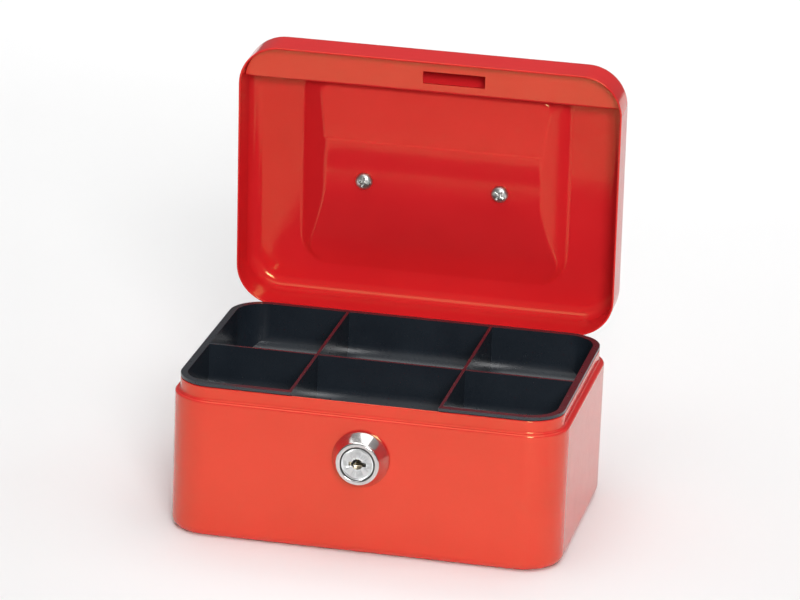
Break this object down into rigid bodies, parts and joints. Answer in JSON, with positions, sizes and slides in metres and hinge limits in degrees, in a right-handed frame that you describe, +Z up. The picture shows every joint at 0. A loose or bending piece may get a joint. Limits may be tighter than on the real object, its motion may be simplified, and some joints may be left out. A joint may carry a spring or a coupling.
{
  "type": "cash box",
  "caption": "Small drawn-steel cash box with a hinged lid, a sunk folding handle, a wafer cam lock and a lift-out divided coin tray.",
  "frame": {"origin": "centre of the tub's flat underside", "axes": "+Z up; +X to the right as seen from the lock side; the lock faces -Y and the hinges are at +Y"},
  "size_m": [0.152, 0.1363, 0.1671],
  "materials": {
    "red_enamel": "gloss red stove enamel with light orange peel",
    "black_plastic": "satin blue-black injection-moulded polystyrene",
    "chrome": "bright chrome plate",
    "satin_nickel": "satin nickel plate",
    "zinc_steel": "bright zinc plated steel",
    "brass": "plain stamped brass"
  },
  "bodies": {
    "box": {"body_shell": "red_enamel", "coin_tray": "black_plastic", "lock_housing": "chrome", "lock_nut": "zinc_steel", "hinge_body_leaf_left": "red_enamel", "hinge_body_leaf_right": "red_enamel", "hinge_pin_left": "zinc_steel", "hinge_pin_right": "zinc_steel"},
    "lid": {"lid_shell": "red_enamel", "strike_plate": "red_enamel", "handle_bracket_left": "chrome", "handle_bracket_right": "chrome", "handle_screw_left": "zinc_steel", "handle_screw_right": "zinc_steel", "hinge_lid_leaf_left": "red_enamel", "hinge_lid_leaf_right": "red_enamel"},
    "handle": {"handle_bail": "chrome"},
    "plug": {"lock_plug": "satin_nickel", "lock_cam": "zinc_steel", "cam_screw": "zinc_steel", "lock_wafer_1": "brass", "lock_wafer_2": "brass", "lock_wafer_3": "brass", "lock_wafer_4": "brass", "lock_wafer_5": "brass"}
  },
  "joints": [
    {"name": "lid_hinge", "type": "hinge", "parent": "box", "child": "lid", "pos_m": [0, 0.057, 0.0555], "axis": [1, 0, 0], "range_deg": [0, 86]},
    {"name": "handle_fold", "type": "hinge", "parent": "lid", "child": "handle", "pos_m": [0, 0.06912, 0.11148], "axis": [-1, 0, 0], "range_deg": [0, 95]},
    {"name": "plug_turn", "type": "hinge", "parent": "box", "child": "plug", "pos_m": [0, -0.046, 0.0385], "axis": [0, -1, 0], "range_deg": [0, 90]}
  ]
}
